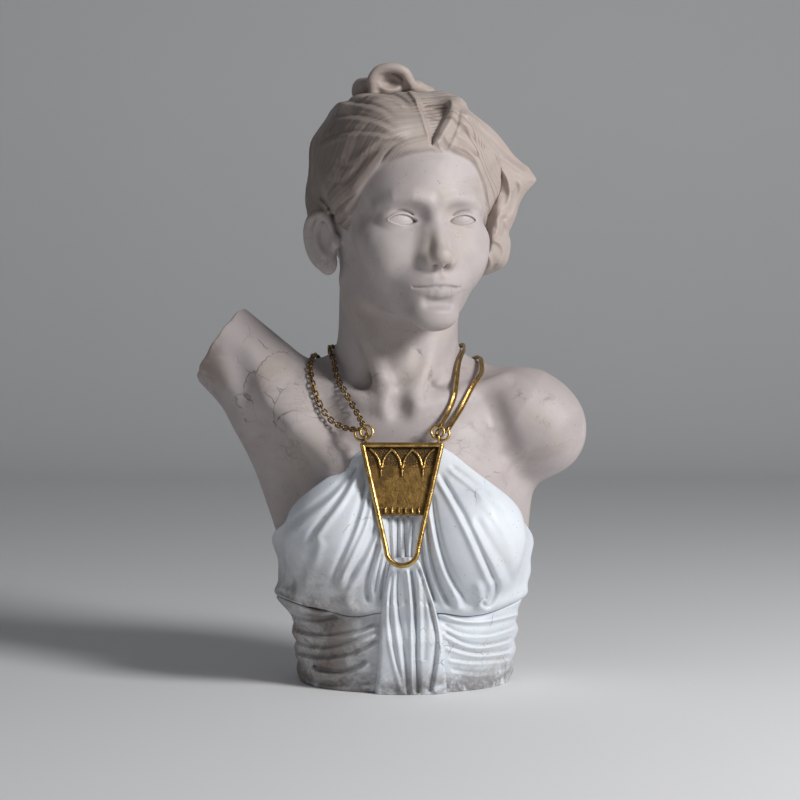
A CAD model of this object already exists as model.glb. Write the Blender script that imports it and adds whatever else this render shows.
import math
import bmesh
import bpy
import numpy as np
import openvdb
from mathutils import Matrix, Vector


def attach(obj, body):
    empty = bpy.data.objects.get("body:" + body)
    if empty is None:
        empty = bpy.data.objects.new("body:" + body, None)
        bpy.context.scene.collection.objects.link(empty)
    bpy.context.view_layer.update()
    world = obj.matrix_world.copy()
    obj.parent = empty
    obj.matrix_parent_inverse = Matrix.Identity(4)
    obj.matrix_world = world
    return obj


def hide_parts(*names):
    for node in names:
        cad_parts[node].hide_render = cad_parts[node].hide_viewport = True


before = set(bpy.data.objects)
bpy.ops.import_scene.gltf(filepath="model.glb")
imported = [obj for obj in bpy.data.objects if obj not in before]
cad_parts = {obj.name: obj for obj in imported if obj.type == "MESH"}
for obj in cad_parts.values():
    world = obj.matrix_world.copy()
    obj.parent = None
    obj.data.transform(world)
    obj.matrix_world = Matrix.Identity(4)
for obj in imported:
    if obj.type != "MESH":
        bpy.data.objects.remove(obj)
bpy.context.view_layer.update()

# Forms are written in millimetres in the shared frame and turned into metres when a mesh is made.
MM = 0.001


# Camera

EYE = np.array([-5.0, -2200.0, 380.0])
AIM = np.array([-5.0, 0.0, 280.0])
FRAME = 800.0     # width of the photograph in pixels
PIXELS = 2202.3   # pixels per unit of slope
SENSOR = 36.0
AXIS_X, AXIS_Y = 405, 300   # pixel where x is 0 and z is the height of the eye


def to_frame(p):
    """Pixel of the photograph's frame at which each point of space is seen."""
    mag = -EYE[1] / (p[:, 1] - EYE[1])
    return AXIS_X + p[:, 0] * mag, AXIS_Y - (p[:, 2] - EYE[2]) * mag


def make_camera():
    data = bpy.data.cameras.new("camera")
    data.sensor_width = SENSOR
    data.lens = PIXELS * SENSOR / FRAME
    ob = bpy.data.objects.new("camera", data)
    bpy.context.scene.collection.objects.link(ob)
    ob.location = Vector(EYE * MM)
    ob.rotation_euler = (Vector(AIM) - Vector(EYE)).to_track_quat("-Z", "Y").to_euler()
    bpy.context.scene.camera = ob


make_camera()


# Distance forms: each is (low corner, high corner, distance function)

def ball(c, r):
    return limb(c, c, r, r)


def limb(a, b, ra, rb=None):
    rb = ra if rb is None else rb
    a = np.array(a, float)
    b = np.array(b, float)
    ab = b - a
    span = max(float(ab @ ab), 1e-9)

    def distance(x, y, z):
        px, py, pz = x - a[0], y - a[1], z - a[2]
        t = np.clip((px * ab[0] + py * ab[1] + pz * ab[2]) / span, 0, 1)
        far = np.sqrt((px - ab[0] * t) ** 2 + (py - ab[1] * t) ** 2 + (pz - ab[2] * t) ** 2)
        return far - (ra + (rb - ra) * t)

    r = max(ra, rb)
    return np.minimum(a, b) - r, np.maximum(a, b) + r, distance


def string(points, radii):
    """A bent rod through points, with one radius for each."""
    parts = [limb(points[i], points[i + 1], radii[i], radii[i + 1]) for i in range(len(points) - 1)]

    def distance(x, y, z):
        d = parts[0][2](x, y, z)
        for p in parts[1:]:
            d = np.minimum(d, p[2](x, y, z))
        return d

    return np.min([p[0] for p in parts], axis=0), np.max([p[1] for p in parts], axis=0), distance


def rope(points, radii):
    """A string with its corners rounded."""
    bent = smoothed(np.column_stack([points, radii]))
    return string(bent[:, :3], bent[:, 3])


def egg(c, r, lean=None):
    """An ellipsoid, turned by the 3 by 3 matrix lean."""
    c = np.array(c, float)
    r = np.array(r, float)
    turn = np.eye(3) if lean is None else np.array(lean, float)

    def distance(x, y, z):
        px, py, pz = x - c[0], y - c[1], z - c[2]
        q = [(turn[0, i] * px + turn[1, i] * py + turn[2, i] * pz) / r[i] for i in range(3)]
        near = np.sqrt(q[0] ** 2 + q[1] ** 2 + q[2] ** 2)
        steep = np.sqrt((q[0] / r[0]) ** 2 + (q[1] / r[1]) ** 2 + (q[2] / r[2]) ** 2)
        return near * (near - 1) / np.maximum(steep, 1e-6)

    m = float(r.max())
    reach = r if lean is None else np.array([m, m, m])
    return c - reach, c + reach, distance


def lean(x=0.0, y=0.0, z=0.0):
    """Rotation matrix from turns in degrees about X, then Y, then Z."""
    turn = Matrix.Rotation(math.radians(z), 3, "Z") @ Matrix.Rotation(math.radians(y), 3, "Y")
    return np.array(turn @ Matrix.Rotation(math.radians(x), 3, "X"))


def mirrored(form):
    low, high, distance = form
    return (np.array([-high[0], low[1], low[2]]), np.array([-low[0], high[1], high[2]]),
            lambda x, y, z: distance(-x, y, z))


def smooth_min(a, b, k):
    h = np.maximum(k - np.abs(a - b), 0) / k
    return np.minimum(a, b) - h * h * (k / 4)


def smooth_max(a, b, k):
    return -smooth_min(-a, -b, k)


def ramp(t):
    t = np.clip(t, 0, 1)
    return t * t * (3 - 2 * t)


# Head placing: turned to the figure's left, chin lifted a little

HEAD_AT = np.array([4.0, -8.0, 452.0])
HEAD_TURN = lean(x=-3.0, z=17.0)
HEAD_LOW, HEAD_HIGH = np.array([-125.0, -130, -130]), np.array([125.0, 150, 175])


def to_head(p):
    return (p - HEAD_AT) @ HEAD_TURN


def from_head(q):
    return np.asarray(q, float) @ HEAD_TURN.T + HEAD_AT


class Clay:
    """Distances at many points, built up by adding and cutting forms."""

    def __init__(self, points):
        self.world = points
        self.head = None
        self.d = np.full(len(points), 300.0)
        self.low = points.min(axis=0)
        self.high = points.max(axis=0)

    def in_head(self):
        """The points in the head's own frame, with their lowest and highest corner."""
        if self.head is None:
            head = to_head(self.world)
            self.head = head, head.min(axis=0), head.max(axis=0)
        return self.head

    def near(self, form, k, head):
        """Numbers and places of the points that a form can reach, in its own frame."""
        pad = k + 9.0
        low, high = form[0] - pad, form[1] + pad
        p, a, b = self.in_head() if head else (self.world, self.low, self.high)
        if np.any(low > b) or np.any(high < a):
            return None, None
        keep = np.flatnonzero(np.all((p > low) & (p < high), axis=1))
        if len(keep) == 0:
            return None, None
        return keep, p[keep]

    def add(self, form, k, head=False):
        keep, p = self.near(form, k, head)
        if keep is not None:
            self.d[keep] = smooth_min(self.d[keep], form[2](p[:, 0], p[:, 1], p[:, 2]), k)

    def cut(self, form, k, head=False):
        keep, p = self.near(form, k, head)
        if keep is not None:
            self.d[keep] = -smooth_min(-self.d[keep], form[2](p[:, 0], p[:, 1], p[:, 2]), k)


CHUNK = 300000             # points measured at once
BATCH = 6000               # half blocks measured at once
BLOCK, HALF = 8, 4         # cells along a block and along one of its halves
DIAGONAL = 0.87            # from the middle of a cube to its corner, by its side
SLACK, FINE_SLACK = 6, 3   # what the forms' distances may be out by, in millimetres


def measured(form, points):
    return np.concatenate([form(points[i:i + CHUNK]) for i in range(0, len(points), CHUNK)])


def sculpt(form, low, high, step):
    """Points and faces of the surface where form(points) is zero, measured closely only near that surface."""
    low = np.array(low, float)
    count = np.ceil((np.array(high, float) - low) / (BLOCK * step)).astype(int)
    far = 12 * step

    def measure(points):
        return np.clip(measured(form, points), -60, 60)

    def corners(n):
        ticks = np.arange(n)
        return np.stack(np.meshgrid(ticks, ticks, ticks, indexing="ij"), axis=-1).reshape(-1, 3)

    blocks = np.stack(np.meshgrid(*[np.arange(n) for n in count], indexing="ij"), axis=-1).reshape(-1, 3)
    coarse = measure(low + (blocks * BLOCK + (BLOCK - 1) / 2) * step)
    cells = np.where(coarse > 0, far, -far).astype(np.float32).reshape(count)
    dense = np.repeat(np.repeat(np.repeat(cells, BLOCK, 0), BLOCK, 1), BLOCK, 2)
    close = blocks[np.abs(coarse) < BLOCK * step * DIAGONAL + SLACK]
    halves = ((close * 2)[:, None, :] + corners(2)[None, :, :]).reshape(-1, 3)
    middle = measure(low + (halves * HALF + (HALF - 1) / 2) * step)
    six = dense.reshape(count[0] * 2, HALF, count[1] * 2, HALF, count[2] * 2, HALF)
    plain = np.where(middle > 0, far, -far)[:, None, None, None]
    six[halves[:, 0], :, halves[:, 1], :, halves[:, 2], :] = plain
    fine = halves[np.abs(middle) < HALF * step * DIAGONAL + FINE_SLACK]
    inside = corners(HALF)
    for i in range(0, len(fine), BATCH):
        some = fine[i:i + BATCH]
        values = measure(low + ((some * HALF)[:, None, :] + inside[None, :, :]).reshape(-1, 3) * step)
        close_up = np.clip(values, -far, far).reshape(-1, HALF, HALF, HALF)
        six[some[:, 0], :, some[:, 1], :, some[:, 2], :] = close_up
    grid = openvdb.FloatGrid(far)
    grid.copyFromArray(dense)
    points, quads = grid.convertToQuads(0.0)
    return low + points.astype(float) * step, quads


# The body

def unit(*way):
    return np.array(way) / np.linalg.norm(way)


NECK_JOINT = np.array([-6.0, 8.0, 345.0])
NECK_LEAN = math.radians(20)
NECK_WAY = np.array([0.0, -math.sin(NECK_LEAN), math.cos(NECK_LEAN)])
RAISED_JOINT = np.array([-146.0, 14.0, 300.0])
RAISED_WAY = unit(-0.72, 0.16, 0.66)
STUMP_AT = RAISED_JOINT + 50 * RAISED_WAY + np.array([-4.0, -8.0, 3.0])
STUMP_WAY = np.array([-0.83, 0.14, 0.54])
LOW_JOINT = np.array([112.0, 6.0, 262.0])
LOW_WAY = unit(0.95, 0.0, 0.31)
LOW_END = np.array([138.0, 4.0, 246.0])
BODY_BLEND = 30
OUTSIDE, RAY = 220.0, 300.0   # distance at which rays to the body begin, and their length


def torso_mass(clay):
    """Large forms of the body, as in the solids."""
    k = BODY_BLEND
    clay.add(limb(LOW_JOINT, LOW_END, 50, 41), k)
    clay.add(limb(RAISED_JOINT - 50 * RAISED_WAY, RAISED_JOINT + 80 * RAISED_WAY, 49, 41), k)
    clay.add(limb((-6, 16, 262), (0, 16, 400), 59, 53), k)
    clay.add(limb((88, 14, 118), (106, 14, 230), 30, 28), k)
    clay.add(limb((-88, 14, 118), (-130, 18, 258), 30, 36), k)
    clay.add(ball((-57, -58, 148), 55), k)
    clay.add(ball((57, -58, 148), 55), k)
    clay.add(egg((0, -20, 212), (92, 52, 66)), k)
    clay.add(egg((0, 12, 256), (132, 56, 46)), k)
    clay.add(egg((0, 0, 125), (108, 80, 185)), k)


def mass(points):
    clay = Clay(points)
    torso_mass(clay)
    return clay.d


def crossing(form, start, way, length, count=160):
    """First place along a ray where form turns negative."""
    t = np.linspace(0, length, count)
    d = form(start + t[:, None] * way)
    inside = np.flatnonzero(d < 0)
    if len(inside) == 0:
        return start + way * t[int(np.argmin(d))]
    i = max(int(inside[0]), 1)
    s = t[i - 1] + (t[i] - t[i - 1]) * d[i - 1] / (d[i - 1] - d[i])
    return start + way * s


def seat(x, z, deep=0.0, back=False, form=mass):
    """Point on the front or back of the body at x and z, sunk by deep."""
    side = 1.0 if back else -1.0
    p = crossing(form, np.array([x, side * OUTSIDE, z]), np.array([0.0, -side, 0.0]), RAY)
    return p + np.array([0.0, -side * deep, 0.0])


def body_fields(points):
    """Distances to the plain body and to the body with its detail."""
    clay = Clay(points)
    torso_mass(clay)
    bare = clay.d.copy()
    for form, k, add in BODY_DETAIL:
        (clay.add if add else clay.cut)(form, k)
    return bare, clay


def flesh(points):
    clay = body_fields(points)[1]
    head_forms(clay)
    return clay.d


def break_off(at, way, reach):
    """Everything past a rough break, near a place."""

    def distance(x, y, z):
        rough = 0.9 * np.sin(x / 6.0 + y / 7.0) * np.sin(z / 5.0 - y / 8.0)
        rough = rough + 0.4 * np.sin(x / 2.3 - z / 2.9 + y / 3.1)
        return rough - ((x - at[0]) * way[0] + (y - at[1]) * way[1] + (z - at[2]) * way[2])

    return at - reach, at + reach, distance


# Cords of the neck: side, place across of the bend and of the foot, depth, bend to the front, radii
NECK_CORDS = ((-1, -16, -15, 2, -6, [8, 7, 5]), (1, 6, 5, 3, -3, [6, 5, 4]))


def body_detail():
    """Collar bones, neck cords, hollows, shoulder blades and the groove of the spine."""
    out = []

    def add(form, k):
        out.append((form, k, True))

    def cut(form, k):
        out.append((form, k, False))

    # Slopes of the shoulders, neck, left shoulder
    add(limb((-26, 40, 328), (-98, 22, 293), 20, 17), 20)
    add(limb((26, 40, 318), (98, 22, 286), 20, 17), 20)
    add(limb((-15, 16, 335), (-15, 18, 425), 51, 50), 16)
    add(ball((130, 6, 259), 46), 18)
    # Hollows over the collar bones, then the bones
    cut(egg(seat(-48, 299, -7), (20, 9, 9), lean(y=-20)), 12)
    cut(egg(seat(42, 297, -8), (18, 9, 8), lean(y=20)), 12)
    for s in (-1, 1):
        bone = [seat(s * 11 - 6, 273, 5), seat(s * 36 - 5, 281, 5.5), seat(s * 66, 289, 6),
                seat(s * 96, 298, 7)]
        add(string(bone, [6.5, 6, 5.5, 5]), 12)
    # Cords of the neck, pit of the throat, throat
    for s, bend_x, foot_x, deep, fore, radii in NECK_CORDS:
        root = from_head((s * 56, 18, -52))
        bend = (root + seat(bend_x, 280, deep)) / 2 + np.array([0, fore, 0])
        add(string([root, bend, seat(foot_x, 280, deep)], radii), 18)
    cut(egg(seat(-5, 277, -7), (9, 10, 11)), 13)
    add(egg(seat(-3, 318, 4), (9, 7, 13)), 12)
    # Chest muscle drawn to the raised arm, armpit and valleys of the arms
    add(string([(-66, -62, 222), (-104, -46, 254), (-140, -22, 286)], [13, 13, 12]), 22)
    cut(egg((-146, -42, 228), (15, 15, 28), lean(y=18)), 26)
    cut(limb((-168, -35, 322), (-150, -37, 262), 6, 7), 18)
    cut(string([seat(84, 282, -6), seat(92, 258, -5), seat(100, 232, -5)], [4, 5, 5]), 18)
    # Spine, shoulder blades and the long muscles of the back
    cut(limb(seat(0, 318, -9, True), seat(0, 110, -9, True), 7, 8), 22)
    for s in (-1, 1):
        add(egg(seat(s * 58, 248, 14, True), (25, 13, 40), lean(y=s * 14)), 24)
        add(limb(seat(s * 40, 290, 12, True), seat(s * 104, 288, 14, True), 11, 10), 24)
        add(limb(seat(s * 24, 220, 18, True), seat(s * 22, 110, 18, True), 12, 12), 22)
    cut(break_off(STUMP_AT, STUMP_WAY, 95.0), 3)
    return out


RELIEF_STEP = 0.5   # pixels between the heights of a relief


class Relief:
    """Heights in millimetres painted over the 800 pixel view and laid on forms along the sight lines."""

    def __init__(self, left, top, right, bottom, scale, origin):
        self.corner = (left, top)
        self.scale = scale
        self.origin = origin
        xs = np.arange(left, right, RELIEF_STEP)
        ys = np.arange(top, bottom, RELIEF_STEP)
        self.x, self.y = np.meshgrid(xs, ys)
        self.h = np.zeros(self.x.shape)

    def pixels(self, points):
        return np.array(points, float) / self.scale + np.array(self.origin)

    def reach(self, points):
        """Distance to a line through points, place along it from 0 to 1, and the side that is signed."""
        p = self.pixels(points)
        steps = np.linalg.norm(np.diff(p, axis=0), axis=1)
        start = np.concatenate([[0], np.cumsum(steps)])
        best = np.full(self.x.shape, 1e9)
        along = np.zeros(self.x.shape)
        side = np.zeros(self.x.shape)
        for i in range(len(p) - 1):
            d = p[i + 1] - p[i]
            qx, qy = self.x - p[i][0], self.y - p[i][1]
            t = np.clip((qx * d[0] + qy * d[1]) / (d @ d), 0, 1)
            far = np.hypot(qx - t * d[0], qy - t * d[1])
            near = far < best
            best = np.where(near, far, best)
            along = np.where(near, (start[i] + t * steps[i]) / start[-1], along)
            side = np.where(near, np.sign(d[0] * qy - d[1] * qx), side)
        return best, along, side

    def stroke(self, points, wide, height, roll=0.0, grow=1.0, ends=(0.2, 0.2)):
        """Ridge or valley along a line; roll piles a bank on its right side, or its left when negative."""
        far, along, side = self.reach(smoothed(points))
        width = wide * (1 + (grow - 1) * along)
        fade = ramp(along / max(ends[0], 1e-3)) * ramp((1 - along) / max(ends[1], 1e-3))
        s = far * side
        self.h += height * fade * np.exp(-(s / width) ** 2)
        if roll:
            shift = 1.7 * width * np.sign(roll)
            bank = abs(roll) * fade * np.exp(-((s - shift) / (1.25 * width)) ** 2)
            self.h += bank * (along > 0) * (along < 1)

    def inside(self, points, soft):
        """Soft mask of a closed outline, 1 inside."""
        return ramp(0.5 - self.signed(points) / (2 * soft))

    def signed(self, points):
        """Signed distance to a closed outline, negative inside, in pixels."""
        p = self.pixels(points)
        far = self.reach(np.concatenate([points, points[:1]]))[0]
        within = np.zeros(self.x.shape, bool)
        for (x0, y0), (x1, y1) in zip(p, np.roll(p, -1, axis=0)):
            if y0 != y1:
                edge = x0 + (self.y - y0) * (x1 - x0) / (y1 - y0)
                within ^= ((self.y < y0) != (self.y < y1)) & (self.x < edge)
        return np.where(within, -far, far)

    def at(self, points, values=None):
        """Painted value under each point of space."""
        values = self.h if values is None else values
        px, py = to_frame(points)
        fx = np.clip((px - self.corner[0]) / RELIEF_STEP, 0, self.x.shape[1] - 1.001)
        fy = np.clip((py - self.corner[1]) / RELIEF_STEP, 0, self.x.shape[0] - 1.001)
        i, j = fx.astype(int), fy.astype(int)
        u, v = fx - i, fy - j
        top = values[j, i] * (1 - u) + values[j, i + 1] * u
        return top * (1 - v) + (values[j + 1, i] * (1 - u) + values[j + 1, i + 1] * u) * v


# What a relief covers (left, top, right, bottom), then the scale and corner of the enlarged view in which
# its lines are written, all in pixels of the photograph
HAIR_VIEW = (285, 50, 560, 300, 4.75, (230, 60))
WING_VIEW = (430, 80, 560, 300, 4.75, (230, 60))
DRESS_VIEW = (240, 430, 560, 715, 5.06, (250, 440))
SASH_VIEW = (240, 560, 560, 715, 5.06, (250, 440))
FALL_VIEW = (350, 550, 470, 715, 5.06, (250, 440))


def smoothed(points, rounds=2):
    """Line with its corners cut, so that strokes bend softly."""
    p = np.array(points, float)
    for _ in range(rounds):
        if len(p) < 3:
            break
        q = [p[0]]
        for a, b in zip(p[:-1], p[1:]):
            q += [0.75 * a + 0.25 * b, 0.25 * a + 0.75 * b]
        p = np.array(q + [p[-1]])
    return p


def rounded(outline, rounds=2):
    """Closed outline with its corners cut."""
    p = np.array(outline, float)
    for _ in range(rounds):
        after = np.roll(p, -1, axis=0)
        p = np.stack([0.75 * p + 0.25 * after, 0.25 * p + 0.75 * after], axis=1).reshape(-1, 2)
    return p


def profile(pairs, soft=5.0):
    """Smooth function through (place, value) pairs in rising order."""
    xs, ys = np.array(pairs, float).T
    fine = np.arange(xs[0] - 4 * soft, xs[-1] + 4 * soft, 0.5)
    raw = np.interp(fine, xs, ys)
    kernel = np.exp(-(np.arange(-3 * soft, 3 * soft + 0.5, 0.5) / soft) ** 2)
    padded = np.pad(raw, len(kernel) // 2, mode="edge")
    even = np.convolve(padded, kernel / kernel.sum(), mode="valid")[:len(fine)]
    return lambda t: np.interp(t, fine, even)


# The head. The face is a calm one on plain canon lines: eyes half-way down, equal thirds, five eyes wide.

FACE_FRONT = profile([(-112, -60), (-106, -74), (-100, -83), (-92, -88), (-79, -87.5), (-65, -89.5),
                      (-46, -88.5), (-20, -87), (3, -88), (15, -90.5), (30, -91), (60, -86), (80, -76),
                      (95, -62), (110, -40)])
FACE_WIDE = profile([(-112, 14), (-106, 24), (-100, 32), (-90, 41), (-75, 50), (-55, 57.5), (-35, 63),
                     (-15, 67), (10, 69.5), (30, 70), (60, 68), (80, 62), (95, 54), (110, 42)])
HAIRLINE = profile([(-110, 70), (-84, 67), (-70, 58), (-56, 43), (-42, 24), (-30, 8), (-18, -2), (-10, 0),
                    (-4, 11), (6, 16), (26, 12), (38, -2), (55, -18), (75, -28), (110, -32)], 3.0)
HAIR_MIDDLE = np.array([0.0, 26.0, 40.0])


def face_mask(x, y, z):
    w = FACE_WIDE(z)
    f = 6 - FACE_FRONT(z)
    u = np.abs(x) / w
    v = np.where(y < 6, (6 - y) / f, (y - 6) / 48)
    n = 2.25
    rho = np.maximum((u ** n + v ** n) ** (1 / n), 1e-3)
    steep = np.sqrt((u ** (n - 1) / w) ** 2 + (v ** (n - 1) / f) ** 2) / rho ** (n - 1)
    d = (rho - 1) / np.maximum(steep, 1e-3)
    under = (-z - 106 + (y + 85) * 0.40) / 1.077
    return smooth_max(d, np.maximum(under, z - 94), 14)


def waves(turn, away, locks, seed):
    """Heights of combed hair: turn counts round the place where strands meet, away is the angle from it."""
    swing = np.cos(2 * np.pi * turn)
    slow = 2 * np.pi * round(0.27 * locks) / locks
    quick = 2 * np.pi * round(0.5 * locks) / locks
    lane = turn * locks + 0.30 * np.sin(2.4 * away + 1.3 * swing + seed)
    lane = lane + 0.12 * np.sin(6.0 * away + 2 * swing + seed)
    lane = lane + 0.30 * np.sin(slow * lane + seed) + 0.16 * np.sin(quick * lane + 2 * seed)
    t = lane - np.floor(lane)
    broad = np.sqrt(np.sin(np.pi * t) ** 1.3 + 0.03) - 0.1
    rise = np.sin(7.3 * (np.floor(lane) % locks) + seed)
    thin = lane * 4.5 + 0.35 * np.sin(5 * away + slow * lane)
    thin = np.sqrt(np.sin(np.pi * thin) ** 2 + 0.06)
    fine = np.sin(2 * np.pi * (lane * 10.0 + 0.5 * np.sin(6 * away + quick * lane)))
    height = (3.0 + 1.1 * rise) * (broad - 0.62) + 0.6 * (thin - 0.6) + 0.16 * fine
    return height, fine


def combed(q):
    """Strand heights over the head and the fine lines on them: combed from the parting to behind the ears,
    and up to the knot at the back."""
    v = q - HAIR_MIDDLE
    u = v / np.maximum(np.linalg.norm(v, axis=1), 1e-6)[:, None]
    out = []
    for side, seed in ((-1.0, 0.4), (1.0, 2.1)):
        pole = np.array([side * 88.0, 19.0, -45.0])
        pole /= np.linalg.norm(pole)
        up = np.array([0.0, 0.0, 1.0]) - pole[2] * pole
        up /= np.linalg.norm(up)
        across = np.cross(pole, up)
        away = np.arccos(np.clip(u @ pole, -1, 1))
        turn = np.arctan2(u @ across, u @ up) / (2 * np.pi)
        height, fine = waves(turn, away, 18, seed)
        out.append((height * ramp((away - 0.12) / 0.5), fine))
    right = ramp(0.5 + q[:, 0] / 9.0)
    knot = q - np.array([-4.0, 46.0, 139.0])
    turn = np.arctan2(knot[:, 0], knot[:, 1]) / (2 * np.pi)
    height, fine = waves(turn, knot[:, 2] / 55.0, 12, 1.2)
    back = (height * ramp((np.hypot(knot[:, 0], knot[:, 1]) - 6) / 22), fine)
    w = ramp((q[:, 1] - 58) / 40)
    return [(a * (1 - right) + b * right) * (1 - w) + c * w for a, b, c in zip(out[0], out[1], back)]


# Lines of the hair in HAIR_VIEW
PARTING = [(865, 140), (1040, 150), (1045, 215), (1025, 265), (990, 330), (957, 406), (940, 345), (922, 290),
           (900, 232)]
PARTING_TOP, PARTING_FADE, PARTING_DEEP = 99, 14, 8.0
COMB_COLUMN, COMB_SLANT, COMB_STEP = 430, 0.12, 3.4
ROLLED_LOCK = [(1018, 178), (1056, 216), (1056, 280), (1012, 350), (972, 425)]
BESIDE_LOCK = [(1090, 230), (1080, 310), (1045, 390), (1010, 450)]
PARTING_EDGE = [(840, 140), (900, 215), (930, 310), (952, 395)]
UPPER_STRANDS = ([(495, 196), (600, 205), (700, 225), (790, 275)],
                 [(450, 285), (560, 262), (690, 285), (800, 330)],
                 [(560, 165), (680, 150), (800, 180), (870, 240)],
                 [(400, 420), (500, 350), (640, 340), (780, 360)])
BROW_STRANDS = ([(470, 470), (560, 525), (640, 470), (720, 405), (800, 385), (850, 405)],
                [(450, 560), (530, 600), (590, 540), (650, 470), (720, 425)])
TEMPLE_STRAND = [(415, 640), (470, 690), (500, 760), (510, 810)]
FAR_STRANDS = ([(1090, 260), (1180, 330), (1260, 420), (1340, 500)], [(1070, 330), (1150, 380), (1220, 450)],
               [(1060, 400), (1120, 430), (1190, 480)], [(1110, 215), (1200, 290), (1300, 410)])


def hair_relief():
    """Parting, rolled lock and long strands of the front of the hair."""
    r = Relief(*HAIR_VIEW)
    part = r.inside(PARTING, 1.6) * ramp((r.y - PARTING_TOP) / PARTING_FADE)
    comb = 0.5 * np.sin((r.y + COMB_SLANT * (r.x - COMB_COLUMN)) * 2 * np.pi / COMB_STEP)
    r.keep = 1 - part
    r.h += part * (-PARTING_DEEP + comb)
    r.stroke(ROLLED_LOCK, 4.0, 4.8, ends=(0.5, 0.15))
    r.stroke(BESIDE_LOCK, 1.5, -1.8)
    r.stroke(PARTING_EDGE, 2.6, 2.4, ends=(0.1, 0.2))
    for line in UPPER_STRANDS:
        r.stroke(line, 2.3, -1.9, roll=1.8)
    for line in BROW_STRANDS:
        r.stroke(line, 3.2, -2.0, roll=-2.0)
    r.stroke(TEMPLE_STRAND, 2.2, -1.8, roll=1.8)
    for line in FAR_STRANDS:
        r.stroke(line, 2.5, -2.0, roll=1.8)
    return r


HAIR_RELIEF = hair_relief()


def skull_and_hair(world, q):
    """Skin of the head with its hair, thin at the edge and full on the figure's right and by the parting."""
    x, y, z = q.T
    face = face_mask(x, y, z)
    skull = egg((0, 18, 32), (74, 92, 84))[2](x, y, z)
    skin = smooth_min(face, skull, 14)
    above = z - HAIRLINE(y)
    front = ramp((64 - y) / 34)
    edge = 4.2 + 3.2 * ramp((-x - 6) / 34)
    thick = edge + (19.5 - edge) * ramp((above + 2) / 50) + 4.0 * ramp((y - 30) / 50)
    thick = thick - 6.0 * ramp((x - 34) / 44) * ramp((z - 62) / 44)
    thick = thick + 8.5 * ramp((-x - 14) / 40) * ramp((z - 55) / 40)
    thick = thick + 8.5 * np.exp(-((x - 38) / 19) ** 2) * ramp((z - 72) / 36)
    painted = HAIR_RELIEF.at(world) * front
    keep = 1 - (1 - HAIR_RELIEF.at(world, HAIR_RELIEF.keep)) * front
    strands = combed(q)[0] * keep * ramp((above + 3) / 6) * (0.82 + 0.18 * ramp((y - 10) / 50))
    hair = skin - thick - strands - painted
    hair = -smooth_min(-hair, (above + 1.8 * strands) * 0.8 + 1.5, 6)
    return np.minimum(skin, smooth_min(skin, hair, 2.0))


def head_marks(points):
    """Where the head is hair, and the fine lines in it."""
    q = to_head(points)
    height, fine = combed(q)
    return ramp((q[:, 2] - HAIRLINE(q[:, 1]) + 1.6 * height + 5) / 6), fine


EYE_OUT, EYE_Y, EYE_TILT, LID_R = 30.5, -63.5, 0.06, 16.6
UPPER_DROP, UPPER_R, LOWER_RISE, LOWER_R = 13.2, 19.3, 19.0, 24.0
OPENING_BACK = -73.5
LID_RADII = [0.7, 1.0, 1.2, 1.3, 1.3, 1.3, 1.2, 1.0, 0.7]
THIN_RADII = [0.6, 0.8, 0.9, 1.0, 1.0, 1.0, 0.9, 0.8, 0.6]


def almond(side):
    """Opening between the lids: two arcs seen from the front, in front of the eyeball."""
    c = np.array([side * EYE_OUT, EYE_Y, 0.0])

    def distance(x, y, z):
        px, pz = x - c[0], z - c[2] - EYE_TILT * side * (x - c[0])
        upper = np.hypot(px, pz + UPPER_DROP) - UPPER_R
        lower = np.hypot(px, pz - LOWER_RISE) - LOWER_R
        return np.maximum(np.maximum(upper, lower), y - OPENING_BACK)

    return c - np.array([16.0, 40.0, 8.0]), c + np.array([16.0, -8.0, 8.0]), distance


def lid_line(side, rise, spread, out, lower=False):
    """Points over the lids along the edge of the opening, moved up by rise."""
    line = []
    for t in np.linspace(-spread, spread, 9):
        if lower:
            z = LOWER_RISE - math.sqrt(LOWER_R ** 2 - t * t) - rise
        else:
            z = math.sqrt(UPPER_R ** 2 - t * t) - UPPER_DROP + rise
        y = EYE_Y - (LID_R + out) * math.sqrt(max(0.05, 1 - (t / 22.0) ** 2 - (z / 17.0) ** 2))
        line.append((side * EYE_OUT + t, y, z + EYE_TILT * side * t))
    return line


def head_forms(clay):
    """Adds the head to the body."""
    q = clay.in_head()[0]
    keep = np.flatnonzero(np.all((q > HEAD_LOW) & (q < HEAD_HIGH), axis=1))
    if len(keep):
        clay.d[keep] = smooth_min(clay.d[keep], skull_and_hair(clay.world[keep], q[keep]), 15)
    for form, k, add in HEAD_DETAIL:
        (clay.add if add else clay.cut)(form, k, True)


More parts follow.
